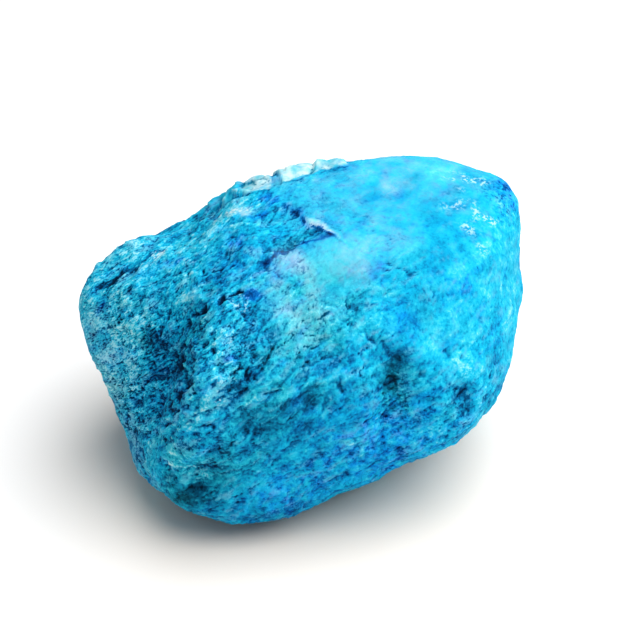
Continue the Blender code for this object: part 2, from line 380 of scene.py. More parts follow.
# Heights and depths of what the break has left, where the stone is roughest
CREST_MM = 0.16
LUMP_MM = 0.26
STEP_MM = 0.30
CRUMB_MM = 0.22
PORE_MM = 0.12
BROAD_PLATE_MM = 0.22
PLATE_MM = 0.26
CHIP_MM = 0.16
SLIT_MM = 0.3
WRINKLE_MM = 0.2
LEDGE_PLATE_MM = 0.25
RUBBED_LUMP_MM = 0.05  # where it is smoothest

# What turns the cells of a lattice and a seed into numbers that look random
CELL_FACTORS = (73856093, 19349663, 83492791)
SEED_FACTOR = 2654435761
MIXERS = ((30, 0xBF58476D1CE4E5B9), (27, 0x94D049BB133111EB), (31, 1))  # shifts and odd factors

# Rounds of blurring that give the surroundings of a point, near, farther and far
NEAR_ROUNDS = 4
MID_ROUNDS = 24
FAR_ROUNDS = 120


def hashed(cells, seed):
    """Numbers 0 to 1, three for each cell.

    The whole coordinates and the seed are multiplied by large odd numbers and joined bit by bit. For
    each number they are mixed by shifts and factors, and the top 24 of the 64 bits are read.
    """
    mixed = np.uint64(seed * SEED_FACTOR)
    for coordinate, factor in zip(cells.astype(np.uint64).T, CELL_FACTORS):
        mixed = mixed ^ coordinate * np.uint64(factor)
    found = []
    for _ in range(3):
        for shift, factor in MIXERS:
            mixed = (mixed ^ (mixed >> np.uint64(shift))) * np.uint64(factor)
        found.append((mixed >> np.uint64(40)).astype(float) / 2.0**24)
    return np.stack(found, axis=1)


def noise(points, size, seed):
    """Smooth noise, about -1 to 1, in lumps of the given size.

    Each corner of a lattice has its own slope. A point takes the heights that the slopes around it
    reach there, blended by 6 t^5 - 15 t^4 + 10 t^3 of its place t in the lattice cell, times 1.8.
    """
    cell = np.floor(points / size)
    within = points / size - cell
    blend = within**3 * (within * (within * 6 - 15) + 10)
    cell = cell.astype(np.int64)
    height = np.zeros(len(points))
    for corner in np.ndindex(2, 2, 2):
        slope = hashed(cell + corner, seed) * 2 - 1
        weight = np.prod(np.where(corner, blend, 1 - blend), axis=1)
        height += weight * np.einsum("ij,ij->i", within - corner, slope)
    return height * 1.8


def fractal(points, size, octaves, seed):
    """Sum of noises, each half the size and 0.55 times the height of the one before."""
    return sum(0.55**k * noise(points, size / 2**k, seed + k) for k in range(octaves))


def crested(points, size, octaves, seed):
    """Sharp crests over round hollows.

    Sum of 0.5 - 2 |noise|, each half the size and 0.6 times the height of the one before.
    """
    return sum(0.6**k * (0.5 - 2 * np.abs(noise(points, size / 2**k, seed + k))) for k in range(octaves))


def wander(points, shift, size, seed):
    """Points plus shift times three noises, one along each axis, so that what lies there frays."""
    return points + shift * np.stack([noise(points, size, seed + k) for k in range(3)], axis=1)


def plates(points, size, seed):
    """Height and shade, -1 to 1, of the flat broken plate that each point is on.

    Each cell of a lattice has a middle of its own, and a point is on the plate with the nearest
    one. The height there is the plate's own slope times the way from the middle. The shade is the
    first part of that slope: where x runs along the surface, a plate that rises towards +x faces away
    from the light at that side, so the shade, which deepens the dye, is partly painted shade by tilt.
    """
    cell = np.floor(points / size)
    within = points / size - cell
    cell = cell.astype(np.int64)
    nearest = np.full(len(points), np.inf)
    height, shade = np.zeros((2, len(points)))
    for corner in np.ndindex(3, 3, 3):
        step = np.array(corner) - 1
        away = within - step - hashed(cell + step, seed)
        distance = np.einsum("ij,ij->i", away, away)
        slope = hashed(cell + step, seed + 1) * 2 - 1
        closer = distance < nearest
        nearest[closer] = distance[closer]
        height[closer] = np.einsum("ij,ij->i", away[closer], slope[closer])
        shade[closer] = slope[closer, 0]
    return height, shade


def bell(share):
    """Smooth hump: (1 - share^2)^2, and 0 beyond share 1."""
    return np.maximum(1 - share * share, 0) ** 2


def ramp(values, low, high):
    """0 below low, 1 above high, and 3 t^2 - 2 t^3 between."""
    t = np.clip((values - low) / (high - low), 0, 1)
    return t * t * (3 - 2 * t)


def near_line(points, stops):
    """Least distance of each point from the straight runs between the stops."""
    nearest = np.full(len(points), np.inf)
    for start, end in zip(np.array(stops), np.array(stops)[1:]):
        run = end - start
        along = np.clip((points - start) @ run / (run @ run), 0, 1)
        nearest = np.minimum(nearest, np.linalg.norm(points - start - along[:, None] * run, axis=1))
    return nearest


def near_place(points, middle, reach):
    """Bell of the distance from a place, as a share of its reach."""
    return bell(np.linalg.norm(points - np.array(middle), axis=1) / reach)


def in_outline(points, corners, edge):
    """1 inside an outline seen from above, and 0 outside, with a slope of width edge between.

    The corners go round anticlockwise, and the least of the distances inside each of the sides is
    ramped over the edge.
    """
    least = np.full(len(points), np.inf)
    for start, end in zip(np.array(corners), np.roll(corners, -1, axis=0)):
        inward = np.array((start[1] - end[1], end[0] - start[0])) / math.dist(start, end)
        least = np.minimum(least, (points[:, :2] - start) @ inward)
    return ramp(least, -edge / 2, edge / 2)


def beside(stops, half_width):
    """Bell of the distance from a crooked line through the stops, as a share of the half width."""
    return bell(near_line(edgy, stops) / half_width)


def levelled(values, places):
    """Values with the level of each place laid over them in turn, by the root of the bell around it."""
    for middle, extent, level in places:
        values = values + near_place(strayed, middle, extent) ** 0.5 * (level - values)
    return values


# Points that have strayed sideways give everything placed on them an irregular edge. What lies along
# the beds is placed on points that are spread out across them.
strayed = wander(form, shift=1.2, size=5.0, seed=11)
strayed = wander(strayed, shift=0.35, size=1.3, seed=21)
across_beds = form @ BEDDING_FACE
bedded = strayed + np.outer(across_beds * (BEDDING_SQUEEZE - 1), BEDDING_FACE)

rough = levelled(np.zeros(len(form)), ROUGH_PLACES)
sunken = in_outline(wander(form, shift=0.25, size=0.8, seed=91), SUNKEN_OUTLINE, edge=0.35)
rough += sunken * (SUNKEN_ROUGHNESS - rough)

# The ledge behind the crown: how far each point belongs to it, how high it stands, and how bare it is
slabbed = wander(form, shift=0.5, size=3.5, seed=98)
slabbed = wander(slabbed, shift=0.25, size=1.1, seed=95)
ragged = form[:, 1] + 2.2 * noise(form, size=3.5, seed=101) + noise(form, size=1.3, seed=103)
there = ramp(ragged, *LEDGE_BACK) * ramp(form[:, 2], *LEDGE_FOOT)
ledge, ledge_height, ledge_white = np.zeros((3, len(form)))
for outline, along, heights, share in LEDGE_CHUNKS:
    chunk = in_outline(slabbed, outline, edge=0.4) * there
    ledge += chunk
    ledge_height += chunk * np.interp(form[:, 0], along, heights)
    ledge_white += chunk * share
ledge_height += LEDGE_PLATE_MM * ledge * plates(slabbed, size=2.2, seed=233)[0]
rough += np.minimum(2 * ledge_white, 1) * (LEDGE_ROUGHNESS - rough)
ledge_white *= ramp(form[:, 1], *LEDGE_WHITE_BACK)
on_ledge = np.minimum(ledge, 1)

# Torn crests, sharp above and rounded below, over broad soft lumps. They follow the beds on the
# left, and run every way on the front.
streaky = near_place(strayed, *STREAKY_PLACE) ** 0.4
swirled = wander(form, shift=1.0, size=3.0, seed=66)
torn = streaky * crested(bedded, size=2.3, octaves=4, seed=61)
torn += (1 - streaky) * crested(swirled, size=2.8, octaves=4, seed=65)
lumps = fractal(wander(form, shift=1.5, size=4.0, seed=75), size=6.0, octaves=4, seed=71)

# Places where crumbs have fallen out, broad and small, with crisp uneven edges
crumbled = ramp(noise(bedded, size=3.1, seed=51), 0.18, 0.42)
crumbled *= ramp(noise(form, size=7.0, seed=52), -0.5, 0.2)
pores = ramp(noise(strayed, size=1.1, seed=53), 0.3, 0.6)

# Steps along the bedding: each bed ends in a small cliff and then falls away to the next
bed = across_beds / BED_MM + 0.9 * noise(form, size=6.0, seed=31) + 0.4 * noise(form, size=2.0, seed=32)
bed -= np.floor(bed)
steps = streaky * ramp(bed, 0.0, CLIFF) * (1 - bed) * ramp(noise(form, size=4.0, seed=33), -0.1, 0.4)

# Fine slits that open here and there along the beds
slits = bell(noise(bedded, size=3.4, seed=55) / 0.07) * ramp(noise(form, size=2.6, seed=56), 0.1, 0.4)

# Flat plates with crisp edges, from broad to small, drawn out along the beds
crooked = wander(bedded, shift=0.5, size=1.5, seed=201)
broad_plate, broad_shade = plates(bedded, size=5.5, seed=211)
plate, plate_shade = plates(crooked, size=2.4, seed=213)
chip, chip_shade = plates(wander(crooked, shift=0.25, size=0.6, seed=205), size=1.1, seed=215)

# Sharp contorted wrinkles on the ridge beside the cleft, and on the brow
folded = wander(form, shift=0.9, size=2.2, seed=43)
folded = wander(folded, shift=0.4, size=0.9, seed=46)
wrinkled = sum(share * near_place(strayed, middle, extent) for middle, extent, share in WRINKLED_PLACES)
wrinkles = wrinkled * crested(folded, size=1.7, octaves=3, seed=41)

lift = rough * (CREST_MM * torn + LUMP_MM * lumps + STEP_MM * steps - CRUMB_MM * crumbled - PORE_MM * pores)
lift += rough * (BROAD_PLATE_MM * broad_plate + PLATE_MM * plate + CHIP_MM * chip)
lift += WRINKLE_MM * wrinkles
lift -= SLIT_MM * rough * slits
lift += (1 - rough) * RUBBED_LUMP_MM * lumps
lift -= lift.mean()

# The forms that have a place of their own. Hollows and cracks have crooked edges, and are uneven in
# width and depth.
edgy = wander(form, shift=0.4, size=1.6, seed=84)
edgy = wander(edgy, shift=0.2, size=0.6, seed=81)
uneven = 0.9 + 0.5 * noise(form, size=0.9, seed=87)
lift -= SUNKEN_MM * sunken
lift += ledge_height
for middle, extent, height in SWELLS:
    lift += height * near_place(form, middle, extent)
for middle, extent, drop in HOLLOWS:
    lift -= drop * near_place(edgy, middle, extent) * uneven
for stops, half_width, drop in CRACKS:
    lift -= drop * beside(stops, half_width * uneven) * uneven

# The broken surface, kept within the solid's own box, and how deep each point lies in its hollows
surface = form + normals * lift[:, None]
surface = np.clip(surface, *(np.array(corner) / MM for corner in solid_box))
radius = np.linalg.norm(surface - HEART, axis=1)
hollow_near = spread(radius, NEAR_ROUNDS) - radius
hollow_mid = spread(radius, MID_ROUNDS) - radius
hollow_far = spread(radius, FAR_ROUNDS) - radius

# ---- The stone: its dye -------------------------------------------------------------------------
# Blue dye soaks in where the stone is open. It is nearly black in pits and cracks, deep blue on
# the broken left side, and thin over the rubbed top, where the white mineral shows through. Painted
# shade darkens the hollows, cracks and cleft besides, and a painted highlight pales what stands up.
DEPTH = 0.46  # of the dye, where nothing else is said: 0 is the thinnest, and 1 nearly black

# More dye, and painted shade, for each millimetre that a point lies below its surroundings, near,
# farther and far
NEAR_DYE_AND_SHADE = 0.8
ROUGH_NEAR_DYE_AND_SHADE = 1.6  # added where the stone is roughest
NEAR_PALING_AND_HIGHLIGHT = 0.9  # on what stands up
MID_DYE_AND_SHADE = 0.55
FAR_DYE_AND_SHADE = 0.12
LEDGE_SPARED = 0.65  # share of the first that the pale ledge is spared

# Change of the dye's depth along cracks, slits and broken edges, and in the patches named; along
# cracks, slits and the crown's edge it is partly painted shade
CRACK_DYE_AND_SHADE = 0.18
CRACK_DARKENING_SPREAD = 1.2
SLIT_DYE_AND_SHADE = 0.25
AZURE_DYE = 0.12
SUNKEN_DYE = 0.03
SUNKEN_EDGE_DYE = 0.2
SUNKEN_FOOT_DYE = 0.16
CROWN_EDGE_DYE_AND_SHADE = 0.22
SLIVER_DYE = -0.15
LEDGE_DYE = -0.05
LEDGE_CLOUD_DYE = -0.12

# How strong the dye's own clouds are all over, and, on rough stone, its veins and clots and the
# shades of the plates, which follow the plates' tilt and so are partly painted shade
CLOUD_DYE = 0.10
SMALL_CLOUD_DYE = 0.05
VEINED_DYE = 0.17
CLOT_DYE = 0.15
BROAD_PLATE_DYE_AND_SHADE = 0.07
PLATE_DYE_AND_SHADE = 0.09
CHIP_DYE_AND_SHADE = 0.07
BEDDED_SHARE = 0.45  # of the last five that every rough place has
STREAKY_SHARE = 0.6  # and that a streaky one has besides

# Places where the dye lies deeper, or thinner: middle, reach and change. Those deeper in the cleft,
# below the lip and in the hollows are partly painted shade.
DYE_PLACES = (
    ((-21.0, -6.0, 17.0), 17.0, 0.05),  # left side
    ((-20.0, -7.0, 19.5), 7.5, -0.16),
    # this and the next two: dye and painted shade down the cleft
    ((-14.5, -12.0, 17.5), 6.0, 0.08),
    ((-12.5, -13.2, 21.9), 2.7, 0.36),  # cleft
    ((-16.8, -9.6, 21.6), 2.5, 0.14),
    ((-12.9, -7.7, 28.0), 4.0, -0.20),
    ((-17.5, 0.0, 27.6), 4.5, -0.14),
    ((-10.0, 0.0, 31.0), 7.0, -0.10),
    ((-7.0, 1.0, 33.2), 4.5, -0.13),
    ((-6.9, -0.1, 33.4), 1.6, -0.12),
    ((-7.2, -7.5, 31.2), 3.5, -0.04),  # shoulder
    ((13.0, 4.0, 35.0), 20.0, -0.13),  # rubbed top
    ((-14.0, 0.0, 29.5), 9.0, -0.15),  # slope
    ((4.0, -8.0, 32.0), 7.0, -0.05),
    ((3.0, -12.0, 29.0), 8.0, -0.06),
    ((24.0, 0.0, 24.0), 14.0, -0.13),  # right end
    ((23.5, -1.5, 25.0), 6.0, -0.10),
    ((11.0, -15.0, 12.0), 7.0, -0.05),
    ((0.5, -13.5, 27.0), 6.0, -0.05),
    ((-0.2, -12.8, 27.5), 4.0, -0.08),
    ((-0.1, -16.7, 21.5), 3.5, 0.12),
    ((-6.2, -17.7, 23.5), 2.5, 0.10),
    ((-9.0, -19.8, 17.3), 3.0, 0.16),
    ((-12.5, -17.4, 11.9), 2.6, -0.14),  # lip
    # this and the next: dye and painted shade in the hollow below the lip
    ((-12.2, -17.7, 8.2), 4.2, 0.26),
    ((-13.5, -16.5, 6.5), 4.5, 0.14),
    ((-5.5, -17.7, 7.0), 5.0, -0.14),
    ((-3.4, -17.9, 11.0), 6.5, -0.10),
    ((3.0, -17.2, 15.0), 4.5, -0.15),
    ((7.5, -16.0, 13.0), 6.5, -0.06),
    ((9.0, -11.8, 26.8), 5.0, -0.13),
    ((15.5, -11.0, 24.5), 6.0, -0.24),
    ((18.8, -11.2, 20.5), 5.0, -0.12),
    ((22.5, -4.0, 21.5), 6.0, -0.10),
    ((10.5, -6.8, 31.0), 4.0, -0.10),
    ((18.3, -7.0, 27.7), 3.5, 0.10),
    ((5.6, -3.9, 33.1), 3.0, 0.07),
    ((17.0, 1.0, 33.0), 7.0, 0.08),
    ((-6.0, -17.0, 2.0), 12.0, 0.14),  # toe
    # dye and painted shade in the right hollow
    ((9.0, -14.5, 20.6), 3.0, 0.10),  # right hollow
    ((10.1, -13.5, 23.3), 1.5, 0.06),
    ((9.5, -15.0, 17.5), 3.2, -0.03),
    # dye and painted shade in the two hollows here
    ((17.2, -13.5, 17.7), 3.0, 0.22),
    ((18.9, -13.0, 16.0), 2.5, -0.12),
    ((14.0, 9.0, 34.5), 6.0, -0.08),  # pale band at the back of the top
    # this and the next three: dye and painted shade in hollows
    ((-5.2, -18.4, 17.8), 3.0, 0.16),
    ((0.9, -17.1, 19.9), 1.8, 0.04),
    ((10.4, -15.3, 12.2), 1.6, 0.12),
    ((4.8, -16.2, 9.8), 1.4, 0.12),
    ((-20.0, 0.5, 26.8), 4.0, -0.22),
    ((-16.4, -1.2, 27.8), 3.0, -0.08),
    ((-13.8, 5.0, 28.0), 3.5, -0.08),
    ((-11.5, -8.5, 28.5), 4.0, -0.20),
    ((-23.4, -3.0, 21.0), 5.0, -0.11),
    ((-16.6, 2.0, 28.1), 1.6, 0.18),
    # this and the next: dye and painted shade in the cleft
    ((-16.2, -10.0, 21.8), 3.0, 0.24),
    ((-12.6, -15.6, 22.1), 2.2, 0.20),
    ((-6.5, -14.4, 28.5), 2.8, 0.16),
    ((-3.4, -4.0, 33.1), 1.8, 0.10),
    ((-0.4, -3.3, 33.0), 1.6, -0.08),
    ((0.0, -16.0, 23.6), 3.2, 0.14),
    ((5.8, -16.0, 22.3), 2.8, 0.18),
    ((12.3, -15.2, 17.8), 2.4, -0.08),
    ((12.0, -14.0, 22.5), 3.5, 0.12),
    ((12.0, -15.3, 15.8), 4.5, -0.12),
    ((-1.0, -17.5, 19.2), 3.5, 0.08),
    ((-2.0, -16.5, 22.0), 7.0, 0.05),
    ((-7.5, -18.7, 15.8), 3.0, 0.10),
    ((-3.0, -13.3, 28.2), 2.2, 0.10),
    ((7.0, -15.6, 10.8), 4.0, -0.06),
    ((23.0, -4.0, 17.8), 3.5, -0.10),
    ((22.2, 5.2, 32.8), 3.2, 0.18),  # back right corner
)

# How strongly the dye is speckled by the mineral's grain: middle, reach and level
SPECKLED_ELSEWHERE = 0.55
SPECKLED_SUNKEN = 0.7
SPECKLED_LEDGE = 0.25
SPECKLED_PLACES = (
    ((-20.0, -5.0, 20.0), 20.0, 1.5),  # left side
    ((-19.5, -9.0, 18.0), 9.0, 1.9),
    ((-12.0, 1.0, 30.0), 11.0, 1.0),
    ((12.0, 3.0, 34.5), 17.0, 0.16),  # rubbed top
    ((3.0, -7.5, 32.0), 6.0, 0.2),
    ((-1.2, -8.6, 32.0), 3.5, 0.7),
    ((2.0, -16.0, 21.0), 10.0, 0.35),  # front
    ((-7.5, -15.5, 27.0), 5.0, 1.5),  # ridge
    ((-9.0, -17.0, 6.0), 9.0, 0.35),
    ((24.0, 0.0, 22.0), 13.0, 0.45),  # right end
    ((14.0, -11.0, 24.5), 7.0, 0.4),
    ((22.5, 4.5, 32.2), 4.0, 0.9),  # back right corner
    ((14.0, -14.0, 15.0), 9.0, 0.75),
    ((6.5, -16.3, 12.0), 7.0, 0.65),
)

# Patches where the dye has run green, where it is at its bluest, and where it is lavender: middle,
# reach and strength
AQUA_PLACES = (
    ((2.0, -11.0, 30.0), 9.0, 0.9),
    ((-3.0, -16.0, 23.0), 9.0, 0.6),
    ((-5.0, -17.5, 17.0), 6.0, 0.45),
    ((-11.0, -18.5, 12.0), 7.0, 0.8),
    ((-13.0, -17.0, 6.5), 5.0, 0.8),
    ((-21.0, -8.0, 15.0), 6.0, 0.5),
    ((9.5, -14.0, 20.5), 4.5, 1.1),
    ((-19.0, -6.0, 24.0), 6.0, 0.3),
)
AZURE_PLACES = (
    ((-6.5, -5.0, 32.4), 1.3, 0.9),
    ((-14.1, -3.6, 28.9), 1.5, 0.6),
    ((-4.4, -1.5, 33.7), 1.3, 0.8),
    ((-5.0, -11.8, 30.1), 1.2, 1.0),
    ((-7.1, -16.8, 26.0), 1.3, 1.0),
    ((-22.3, -4.1, 23.4), 1.2, 1.0),
    ((-3.4, 0.7, 34.3), 1.5, 0.7),
    ((22.9, 5.9, 32.5), 3.2, 1.0),
    ((11.0, -11.4, 26.6), 3.5, 0.4),
    ((16.0, -7.9, 28.5), 3.0, 0.35),
    ((8.0, -16.0, 13.0), 11.0, 0.7),
    ((-7.5, -7.5, 30.8), 4.5, 0.35),
    ((-2.0, -18.0, 7.0), 7.0, 0.5),
    ((-14.5, -11.0, 17.0), 5.0, 0.35),
    ((8.4, -7.9, 30.9), 1.2, 0.5),
)
LAVENDER_PLACES = (
    ((-1.2, -8.6, 32.0), 3.0, 0.9),
    ((5.0, -7.3, 31.9), 4.6, 0.35),
)
AQUA_CLOUDS = 0.45
AQUA_LEDGE = 2.0
AZURE_CLOTS = 0.25
AZURE_EDGES = 0.8

# The edges of the low patch of the top: the sharp one behind it, and its foot in front
SUNKEN_EDGE = ((-1.9, 0.0, 34.3), (0.6, -2.5, 33.3), (3.3, -4.7, 33.1))
SUNKEN_FOOT = ((3.0, -4.9, 33.0), (0.3, -5.9, 32.7), (-2.3, -7.4, 32.1), (-3.9, -8.6, 31.9))

# Lines along which the dye lies deeper, or thinner: stops, half width and change. Some of the deeper
# ones are partly painted shade, in the black hole, along the cleft and in the rim's crack, and under
# the sliver they are painted shade.
DYE_LINES = (
    # this and the next: dye and painted shade in the black hole and its slit
    (((-8.2, -11.9, 29.6), (-7.9, -11.9, 29.8)), 1.0, 0.7),  # black hole, and its slit
    (((-7.8, -11.8, 29.9), (-6.0, -11.5, 30.3)), 0.45, 0.5),
    # this and the next: dye and painted shade along the cleft
    (((-16.2, -10.0, 21.9), (-13.3, -10.3, 24.6), (-10.2, -12.6, 27.6)), 1.7, 0.16),  # along the cleft
    (((-12.5, -16.0, 21.4), (-14.3, -15.2, 18.5), (-16.5, -11.8, 13.8)), 1.7, 0.22),
    (((-9.7, -19.2, 22.1), (-10.8, -19.2, 19.5), (-11.7, -19.4, 17.1)), 1.1, -0.20),  # ridge
    # dye and painted shade in the rim's crack
    (((-22.3, -1.9, 24.7), (-20.9, -1.7, 25.5), (-18.8, -1.5, 26.8), (-17.3, -0.4, 27.6)), 0.9, 0.30),
    # this and the next: painted shade under the sliver
    (((1.7, -3.9, 33.3), (3.3, -4.9, 33.0), (4.5, -5.8, 32.6)), 0.3, 0.25),  # under the sliver
    (((2.6, -3.0, 33.4), (3.6, -3.7, 33.3), (4.4, -4.7, 33.0)), 0.25, 0.25),
    (((-5.2, -18.4, 21.2), (-1.7, -17.8, 21.6), (1.9, -16.3, 22.2), (4.5, -15.6, 23.2)), 1.2, -0.26),
    (((-1.7, -14.8, 25.8), (-1.0, -13.3, 27.3), (0.9, -12.1, 28.1), (3.4, -11.8, 27.9)), 0.8, -0.12),
    (((0.9, -14.0, 25.3), (2.4, -13.2, 26.0), (5.5, -12.2, 27.1)), 0.6, 0.12),
    (((-13.9, -17.1, 11.9), (-11.8, -17.6, 12.1), (-9.9, -17.6, 11.2)), 0.5, -0.22),  # lip
    (((9.8, -13.4, 22.7), (10.2, -14.0, 21.4), (10.1, -14.4, 20.4), (11.2, -15.0, 19.5)), 0.35, -0.2),
    (((-23.0, -1.0, 22.0), (-21.5, -4.0, 18.0), (-20.0, -6.0, 14.0)), 2.2, -0.08),  # left edge
    (((-19.9, -5.8, 24.3), (-19.4, -7.6, 21.6), (-18.6, -9.4, 18.9), (-17.6, -10.2, 15.8)), 1.3, -0.14),
)

# White streaks and flecks of bare mineral: stops, half width and strength, or middle and reach
FLECK_SPREAD = 1.4  # of the reach, for the flecks that stray from their place
FLECKED_LINES = (
    (((-8.0, 0.3, 33.0), (-5.8, -0.3, 33.6)), 0.8, 1.2),
    (((-9.9, 1.5, 31.2), (-8.8, -0.5, 32.3)), 0.6, 0.7),
    (((-16.4, -0.1, 27.9), (-15.2, -0.8, 28.3)), 0.7, 1.3),
    (((-13.0, -4.2, 29.2), (-11.5, -4.9, 29.8)), 0.5, 0.6),
    (((-9.5, -19.3, 22.6), (-10.8, -18.9, 19.5), (-12.0, -18.0, 16.0)), 0.9, 0.2),  # ridge
    (((-13.9, -17.1, 11.9), (-11.8, -17.6, 12.1), (-9.9, -17.6, 11.2)), 0.6, 0.4),  # lip
)
FLECKED_PLACES = (
    ((17.2, 5.1, 34.0), 1.8),
    ((19.5, 5.9, 33.8), 1.5),
    ((17.6, 0.9, 33.1), 1.7),
    ((19.4, 1.5, 32.9), 1.3),
    ((20.4, 0.4, 32.1), 1.4),
    ((17.9, -1.8, 32.1), 1.2),
    ((19.2, -3.7, 30.9), 0.9),
    ((22.1, 3.4, 32.3), 1.1),
    ((-8.5, -19.0, 23.0), 1.5),
    ((-6.8, -15.5, 27.6), 1.4),
    ((-5.8, -13.0, 29.2), 1.2),
    ((-9.3, -18.3, 21.0), 1.2),
)

# How much of the bare mineral's white shows through: middle, reach and share
CHALKY_PLACES = (
    ((3.0, 1.0, 34.8), 7.0, 0.06),  # top
    ((9.5, 3.0, 34.4), 5.0, 0.06),
    ((12.0, 9.0, 34.5), 11.0, 0.10),
    ((9.0, -3.5, 32.8), 4.5, 0.08),
    ((-22.0, -5.5, 19.0), 7.0, 0.12),  # left rim
    ((-20.0, -8.5, 11.0), 6.0, 0.14),
    ((-17.5, -12.0, 7.0), 5.0, 0.10),
    ((-1.2, -8.6, 32.0), 3.0, 0.13),
    ((5.0, -7.3, 31.9), 5.0, 0.07),
    ((0.0, -12.0, 28.5), 5.0, 0.11),
    ((-9.8, -18.0, 21.5), 4.5, 0.07),  # ridge
    ((-7.6, 0.1, 33.1), 1.0, 0.7),  # slope
    ((-6.5, -0.2, 33.5), 0.9, 0.7),
    ((-15.8, -0.5, 28.1), 1.0, 0.5),
)
FROST = 0.04
ROUGH_FROST = 0.12  # added where the stone is roughest
SLIVER_WHITE = 0.5
LEDGE_SMOOTHED = 0.5  # share of the shader's roughness that the ledge is spared

# The pale sliver that stands on the edge of the low patch, seen from above, and the crown's own edge
SLIVER_OUTLINE = ((0.3, -1.8), (0.6, -3.0), (2.0, -3.9), (3.9, -5.0), (2.9, -3.3), (1.5, -2.1))
CROWN_EDGE = ((-6.2, 2.9, 33.8), (-3.4, 2.6, 34.6), (-1.9, 3.5, 34.8), (1.1, 4.9, 34.9), (4.6, 6.6, 34.8))

stone_mesh = net_mesh("dyed_howlite_lump", surface * MM, quads)
stone = bpy.data.objects.new("dyed_howlite_lump", stone_mesh)
bpy.context.scene.collection.objects.link(stone)


def keep(name, values):
    """Store a value per point of the stone as a mesh attribute that its material can read."""
    stone_mesh.attributes.new(name, "FLOAT", "POINT").data.foreach_set("value", values.astype(np.float32))


def washed(places, seed):
    """Sum of the bells around places, each times its strength, with uneven edges."""
    frayed = wander(form, shift=1.1, size=3.0, seed=seed)
    frayed = wander(frayed, shift=0.5, size=1.0, seed=seed + 5)
    return sum(strength * near_place(frayed, middle, extent) for middle, extent, strength in places)


def patchy(points, strength, size, seed):
    """Factor that makes a wash patchy: 1 + strength times noise, and never below 0."""
    return np.maximum(1 + strength * noise(points, size, seed), 0)


# Clouds in the dye, and on rough stone its veins, its clots and the shades of the plates, the last
# partly painted shade by their tilt
bedded_dye = rough * (BEDDED_SHARE + STREAKY_SHARE * streaky)
cloudy = CLOUD_DYE * fractal(bedded, size=6.0, octaves=3, seed=111)
cloudy += SMALL_CLOUD_DYE * fractal(strayed, size=2.5, octaves=3, seed=115)
veined = VEINED_DYE * fractal(bedded, size=2.2, octaves=4, seed=121)
veined += CLOT_DYE * ramp(noise(bedded, size=1.4, seed=125), 0.15, 0.5)
depth = DEPTH + cloudy + bedded_dye * veined + washed(DYE_PLACES, seed=131)
depth += bedded_dye * (BROAD_PLATE_DYE_AND_SHADE * broad_shade + PLATE_DYE_AND_SHADE * plate_shade + CHIP_DYE_AND_SHADE * chip_shade)

# More dye and painted shade in hollows and cracks, and thinner dye with a painted highlight on
# what stands up
near_dye_and_shade_gain = np.where(hollow_near > 0, NEAR_DYE_AND_SHADE + ROUGH_NEAR_DYE_AND_SHADE * rough, NEAR_PALING_AND_HIGHLIGHT)
depth += near_dye_and_shade_gain * hollow_near * (1 - LEDGE_SPARED * on_ledge)
depth += MID_DYE_AND_SHADE * hollow_mid + FAR_DYE_AND_SHADE * hollow_far
for stops, half_width, _ in CRACKS:
    # dye and painted shade along each crack
    depth += CRACK_DYE_AND_SHADE * beside(stops, half_width * uneven * CRACK_DARKENING_SPREAD)

# The bluest patches, dye and painted shade in the slits, and the lines of deeper and thinner dye
azure = washed(AZURE_PLACES, seed=161) * patchy(strayed, strength=1.2, size=1.1, seed=167)
azure += AZURE_CLOTS * ramp(noise(bedded, size=2.6, seed=163), 0.15, 0.6)
azure += AZURE_EDGES * beside(SUNKEN_FOOT, 0.7) + AZURE_EDGES * beside(SUNKEN_EDGE, 0.6)
depth += AZURE_DYE * azure + SLIT_DYE_AND_SHADE * rough * slits
for stops, half_width, change in DYE_LINES:
    depth += change * beside(stops, half_width * uneven)

# The low patch of the top is cut off at a sharp broken edge, with a pale sliver along it
sliver = in_outline(edgy, SLIVER_OUTLINE, edge=0.3)
depth += SUNKEN_DYE * sunken + SLIVER_DYE * sliver
depth += SUNKEN_EDGE_DYE * beside(SUNKEN_EDGE, 0.45) + SUNKEN_FOOT_DYE * beside(SUNKEN_FOOT, 0.5)

# The pale ledge behind the crown, and the deep blue edge of the crown in front of it, which is
# partly painted shade where the crown meets the ledge
depth += ledge * (LEDGE_DYE + LEDGE_CLOUD_DYE * noise(form, size=2.0, seed=141))
# dye and painted shade along the crown's edge
depth += CROWN_EDGE_DYE_AND_SHADE * beside(CROWN_EDGE, 0.45)

# Where grains of bare mineral stand out of the dye as white flecks
flecked = sum(near_place(strayed, middle, FLECK_SPREAD * extent) for middle, extent in FLECKED_PLACES)
flecked *= ramp(noise(form, size=1.3, seed=187), -0.05, 0.3)
for stops, half_width, share in FLECKED_LINES:
    flecked += share * beside(stops, half_width)

# Where the bare mineral shows through as a white veil: in its places, as a frost on rough stone, on
# the ledge, and on the sliver
frost = fractal(wander(bedded, shift=0.4, size=1.5, seed=191), size=1.8, octaves=4, seed=194)
chalky = washed(CHALKY_PLACES, seed=181) * patchy(strayed, strength=1.6, size=2.2, seed=183)
chalky += (FROST + ROUGH_FROST * rough) * ramp(frost, 0.05, 0.9)
chalky += ledge_white * (1 + 0.9 * fractal(form, size=1.4, octaves=3, seed=185))
chalky += SLIVER_WHITE * sliver * (1 + 1.2 * noise(strayed, size=0.8, seed=189))

# How strongly it is speckled, and where it has run green or is lavender
speckled = levelled(np.full(len(form), SPECKLED_ELSEWHERE), SPECKLED_PLACES)
speckled += sunken * (SPECKLED_SUNKEN - speckled)
speckled += on_ledge * (SPECKLED_LEDGE - speckled)
aqua = washed(AQUA_PLACES, seed=151) + AQUA_CLOUDS * noise(strayed, size=3.0, seed=153)
aqua += AQUA_LEDGE * ledge_white
lavender = washed(LAVENDER_PLACES, seed=171) * patchy(strayed, strength=1.2, size=1.3, seed=173)

